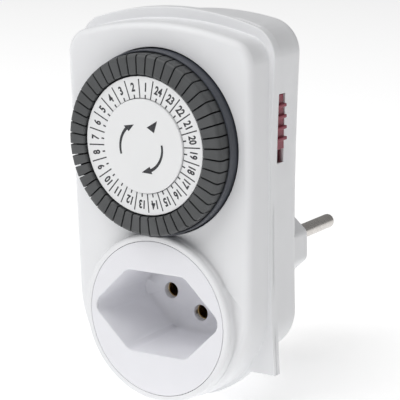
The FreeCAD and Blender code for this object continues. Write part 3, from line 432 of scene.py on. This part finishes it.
soft_copy("override_slider", [(every_edge, 0.22, 3)])
soft_copy("dial_wheel", [(on(DRUM_RIM), 0.15, 2)])
soft_copy("number_disc", [(on(RING_FACE), 0.08, 2)])
soft_copy("centre_disc", [(on(DISC_FACE), 0.15, 3)])
for name in ("live", "neutral", "earth"):
    soft_copy(name + "_contact", [(every_edge, 0.15, 2)])
soft_copy("case_screws", [(every_edge, 0.12, 2)])
soft_copy("chassis_screws", [(every_edge, 0.12, 2)])

# %% [markdown]
# ## A tree that lays out copies
# Tappets, hour lines and numbers are all the same job: put a part at each of some points and turn
# each copy a step further than the last. One Geometry Nodes tree does it. The points come in as the
# vertices of a small mesh, the part as an object, and the turns as named inputs. The tree ends in real
# geometry with its finish set, so that the result can be stored as a plain mesh.

# %% The copying tree


def add_input(tree, name, kind, value=None):
    entry = tree.interface.new_socket(name=name, in_out="INPUT", socket_type=kind)
    if value is not None:
        entry.default_value = value
    return entry


def copying_tree(pick_from_collection):
    tree = bpy.data.node_groups.new("lay out copies", "GeometryNodeTree")
    add_input(tree, "Points", "NodeSocketGeometry")
    if pick_from_collection:
        add_input(tree, "Parts", "NodeSocketCollection")
    else:
        add_input(tree, "Part", "NodeSocketObject")
    add_input(tree, "First Turn", "NodeSocketFloat", 0.0)
    add_input(tree, "Step Turn", "NodeSocketFloat", 0.0)
    add_input(tree, "Finish", "NodeSocketMaterial")
    tree.interface.new_socket(name="Copies", in_out="OUTPUT", socket_type="NodeSocketGeometry")
    new, link = tree.nodes.new, tree.links.new
    given, result = new("NodeGroupInput"), new("NodeGroupOutput")
    index = new("GeometryNodeInputIndex")
    turned = new("ShaderNodeMath")
    turned.operation = "MULTIPLY_ADD"
    link(index.outputs["Index"], turned.inputs[0])
    link(given.outputs["Step Turn"], turned.inputs[1])
    link(given.outputs["First Turn"], turned.inputs[2])
    about_y = new("ShaderNodeCombineXYZ")
    link(turned.outputs["Value"], about_y.inputs["Y"])
    if pick_from_collection:
        part = new("GeometryNodeCollectionInfo")
        part.inputs["Separate Children"].default_value = True
        part.inputs["Reset Children"].default_value = True
        link(given.outputs["Parts"], part.inputs["Collection"])
        source = part.outputs["Instances"]
    else:
        part = new("GeometryNodeObjectInfo")
        link(given.outputs["Part"], part.inputs["Object"])
        source = part.outputs["Geometry"]
    copies = new("GeometryNodeInstanceOnPoints")
    link(given.outputs["Points"], copies.inputs["Points"])
    link(source, copies.inputs["Instance"])
    link(about_y.outputs["Vector"], copies.inputs["Rotation"])
    if pick_from_collection:
        copies.inputs["Pick Instance"].default_value = True
        link(index.outputs["Index"], copies.inputs["Instance Index"])
    real, painted = new("GeometryNodeRealizeInstances"), new("GeometryNodeSetMaterial")
    link(copies.outputs["Instances"], real.inputs["Geometry"])
    link(real.outputs["Geometry"], painted.inputs["Geometry"])
    link(given.outputs["Finish"], painted.inputs["Material"])
    link(painted.outputs["Geometry"], result.inputs["Copies"])
    return tree


COPY_PART, PICK_PART = copying_tree(False), copying_tree(True)
print("tree nodes", len(COPY_PART.nodes), len(PICK_PART.nodes))


def lay_out(places, part, first_turn, step_turn, slot):
    """A plain mesh of one copy of the part at each place, each turned a step further about Y."""
    tree = PICK_PART if isinstance(part, bpy.types.Collection) else COPY_PART
    points = bpy.data.meshes.new("points")
    points.from_pydata(places, [], [])
    holder = bpy.data.objects.new("holder", points)
    bpy.context.scene.collection.objects.link(holder)
    layout = holder.modifiers.new("copies", "NODES")
    layout.node_group = tree
    values = {"Part": part, "Parts": part, "First Turn": first_turn, "Step Turn": step_turn,
              "Finish": FINISHES[slot]}
    for entry in tree.interface.items_tree:
        if entry.in_out == "INPUT" and entry.name in values:
            layout[entry.identifier] = values[entry.name]
    ready = holder.evaluated_get(bpy.context.evaluated_depsgraph_get())
    mesh = bpy.data.meshes.new_from_object(ready)
    bpy.data.objects.remove(holder)
    return mesh


def master(name, mesh):
    part = bpy.data.objects.new(name, mesh)
    bpy.context.scene.collection.objects.link(part)
    return part


# %% [markdown]
# ## The tappets
# Forty-eight little levers stand round the dial, two for each hour. Each is a wedge with a flat top that
# falls away a little towards its rounded outer corner, and it carries a peg that reaches down through the
# drum to the switch lever. One tappet is drawn as a profile in radius and height, given its width, and
# its edges are rounded. The tree then turns it into place twice for each hour, half an hour apart.

# %% Tappets
HOURS = 24
HOUR_TURN = 2 * math.pi / HOURS
FIRST_HOUR = math.radians(86)
TAPPET_PROFILE = [
    (18.25, 55.05), (23.35, 55.05), (23.35, 58.35), (23.2, 58.85), (22.85, 59.2), (22.3, 59.35),
    (18.6, 59.55), (18.25, 59.35),
]
TAPPET_GAP, TAPPET_ROUND = 0.36, 0.13
PEG_RADIUS, PEG_CIRCLE, PEG_TIP, PEG_TOP = 0.6, 21.0, 50.0, 55.2


def tappet_mesh():
    """One tappet at the top of the dial, drawn about the dial's centre."""
    shape = bmesh.new()
    sides = []
    for side in (-1, 1):
        ring = []
        for radius, forward in TAPPET_PROFILE:
            half = radius * math.sin(HOUR_TURN / 4) - TAPPET_GAP / 2
            ring.append(shape.verts.new((side * half * MM, -forward * MM, radius * MM)))
        sides.append(ring)
    left, right = sides
    shape.faces.new(left)
    shape.faces.new(list(reversed(right)))
    for number in range(len(left)):
        after = (number + 1) % len(left)
        shape.faces.new((left[after], left[number], right[number], right[after]))
    bmesh.ops.recalc_face_normals(shape, faces=shape.faces)
    edges = [edge for edge in shape.edges if turn_of(edge) > 60]
    bmesh.ops.bevel(shape, geom=edges, offset=TAPPET_ROUND * MM, offset_type="OFFSET", segments=2,
                    profile=0.5, affect="EDGES", clamp_overlap=True)
    depth = PEG_TOP - PEG_TIP
    middle = Matrix.Translation((0, -(PEG_TIP + depth / 2) * MM, PEG_CIRCLE * MM))
    thick = PEG_RADIUS * MM
    bmesh.ops.create_cone(shape, cap_ends=True, segments=16, radius1=thick, radius2=thick,
                          depth=depth * MM, matrix=middle @ Matrix.Rotation(math.pi / 2, 4, "X"))
    mesh = bpy.data.meshes.new("tappet")
    shape.to_mesh(mesh)
    shape.free()
    return mesh


dial_centre = (0, 0, DIAL_Z * MM)
tappet = master("tappet_master", tappet_mesh())
for hour in range(1, HOURS + 1):
    angle = FIRST_HOUR + (hour - 1) * HOUR_TURN
    turn = math.pi / 2 - angle - HOUR_TURN / 4
    mesh = smooth_faces(lay_out([dial_centre] * 2, tappet, turn, HOUR_TURN / 2, "tappet_plastic"), 30)
    name = "tappet_%02d" % hour
    new_piece(name + "_soft", mesh, name + "_pair", "tappet_plastic", name)
bpy.data.objects.remove(tappet)
print("tappet faces", len(mesh.polygons))

# %% [markdown]
# ## The printed ring
# The ring carries the hours in dark ink. Ink has almost no thickness, but it needs a little here so that
# it stands off the white. Each mark is drawn once at the top of the dial and turned into place, and the
# numbers are text made into meshes first, narrowed and thickened to look like the bold face of the print.

# %% Ring lines
INK_THICKNESS = 0.03
INK = finish("printing_ink", (0.02, 0.021, 0.026), 0.6)
mottle(INK, pattern(INK, 0.5), (0.014, 0.015, 0.02), (0.05, 0.05, 0.055))
INK_SLOT = "dial_plastic"


def ink_plate(outline, forward):
    """A flat plate of ink. The outline is in mm, right and up from the dial's centre."""
    shape = bmesh.new()
    front = [shape.verts.new((x * MM, -(forward + INK_THICKNESS) * MM, z * MM)) for x, z in outline]
    back = [shape.verts.new((x * MM, -(forward - 0.01) * MM, z * MM)) for x, z in outline]
    shape.faces.new(front)
    shape.faces.new(list(reversed(back)))
    for number in range(len(front)):
        after = (number + 1) % len(front)
        shape.faces.new((front[number], back[number], back[after], front[after]))
    bmesh.ops.recalc_face_normals(shape, faces=shape.faces)
    mesh = bpy.data.meshes.new("ink")
    shape.to_mesh(mesh)
    shape.free()
    return mesh


def bar(low, high, width):
    half = width / 2
    return [(-half, low), (half, low), (half, high), (-half, high)]


def on_ring(name, part_mesh, first):
    part = master(name, part_mesh)
    mesh = lay_out([dial_centre] * HOURS, part, math.pi / 2 - first, -HOUR_TURN, INK_SLOT)
    bpy.data.objects.remove(part)
    return mesh


hour_lines = on_ring("hour_line", ink_plate(bar(12.3, 17.1, 0.3), RING_FACE), FIRST_HOUR + HOUR_TURN / 2)
half_lines = on_ring("half_line", ink_plate(bar(12.3, 13.2, 0.36), RING_FACE), FIRST_HOUR)
print("lines", HOURS, "long and", HOURS, "short")

# %% Numbers
NUMBER_HEIGHT, NUMBER_NARROW, NUMBER_RADIUS = 2.3, 0.74, 15.15


def number_mesh(hour):
    words = bpy.data.curves.new("number", "FONT")
    words.body = str(hour)
    words.align_x, words.align_y = "CENTER", "CENTER"
    words.size = NUMBER_HEIGHT / 0.72
    words.offset = 0.11
    words.resolution_u = 3
    words.extrude = (INK_THICKNESS + 0.01) / 2
    holder = bpy.data.objects.new("number", words)
    bpy.context.scene.collection.objects.link(holder)
    ready = holder.evaluated_get(bpy.context.evaluated_depsgraph_get())
    mesh = bpy.data.meshes.new_from_object(ready)
    bpy.data.objects.remove(holder)
    low = min(vertex.co.y for vertex in mesh.vertices)
    high = max(vertex.co.y for vertex in mesh.vertices)
    left = min(vertex.co.x for vertex in mesh.vertices)
    right = max(vertex.co.x for vertex in mesh.vertices)
    tall = NUMBER_HEIGHT / (high - low)
    centre = Matrix.Translation((-(left + right) / 2, -(low + high) / 2, 0))
    size = Matrix.Diagonal((NUMBER_NARROW * tall, tall, 1, 1))
    upright = Matrix.Rotation(math.pi / 2, 4, "X")
    lift = Matrix.Translation((0, -(RING_FACE + INK_THICKNESS / 2 - 0.005), NUMBER_RADIUS))
    mesh.transform(Matrix.Scale(MM, 4) @ lift @ upright @ size @ centre)
    return mesh


digits = bpy.data.collections.new("hour numbers")
bpy.context.scene.collection.children.link(digits)
for hour in range(1, HOURS + 1):
    digits.objects.link(bpy.data.objects.new("number_%02d" % hour, number_mesh(hour)))
numbers = lay_out([dial_centre] * HOURS, digits, math.pi / 2 - FIRST_HOUR, -HOUR_TURN, INK_SLOT)
for number in list(digits.objects):
    bpy.data.objects.remove(number)
bpy.data.collections.remove(digits)
print("number faces", len(numbers.polygons))


def joined(name, meshes):
    shape = bmesh.new()
    for mesh in meshes:
        shape.from_mesh(mesh)
    result = bpy.data.meshes.new(name)
    shape.to_mesh(result)
    shape.free()
    return result


def print_piece(name, meshes, body):
    piece = new_piece(name, joined(name, meshes), body, INK_SLOT)
    piece.data.materials.clear()
    piece.data.materials.append(INK)
    return piece


ring_print = print_piece("hour_ring_print", [hour_lines, half_lines, numbers], "dial")
print("ring print faces", len(ring_print.data.polygons))

# %% [markdown]
# ## The marks on the fixed disc
# The disc in the middle stands still. It has a small triangle that points at the hour of the day, and two
# curved arrows that show which way the dial may be turned. Each arrow is a thin arc that swells towards a
# slim head, drawn as one outline.

# %% Index and arrows


def polar(radius, degrees):
    return (radius * math.cos(math.radians(degrees)), radius * math.sin(math.radians(degrees)))


def arrow_outline(start, neck, tip, start_radius, neck_radius, tip_radius, width=0.8, barb=1.0, steps=16):
    outer, inner = [], []
    for step in range(steps + 1):
        share = step / steps
        angle = start + (neck - start) * share
        radius = start_radius + (neck_radius - start_radius) * share
        half = width * (0.35 + 0.15 * share)
        outer.append(polar(radius + half, angle))
        inner.append(polar(radius - half, angle))
    head = [polar(neck_radius + barb, neck), polar(tip_radius, tip), polar(neck_radius - barb, neck)]
    return outer + head + list(reversed(inner))


def at_dial(mesh):
    mesh.transform(Matrix.Translation(dial_centre))
    return mesh


INDEX = [polar(8.3, 56), polar(5.2, 74), polar(5.2, 46)]
LEFT_ARROW = arrow_outline(200, 139, 115, 7.1, 6.5, 6.0)
RIGHT_ARROW = arrow_outline(8, -68, -94, 5.9, 6.4, 6.7)
marks = [at_dial(ink_plate(outline, DISC_FACE)) for outline in (INDEX, LEFT_ARROW, RIGHT_ARROW)]
disc_print = print_piece("centre_disc_print", marks, "case")
print("disc print faces", len(disc_print.data.polygons))
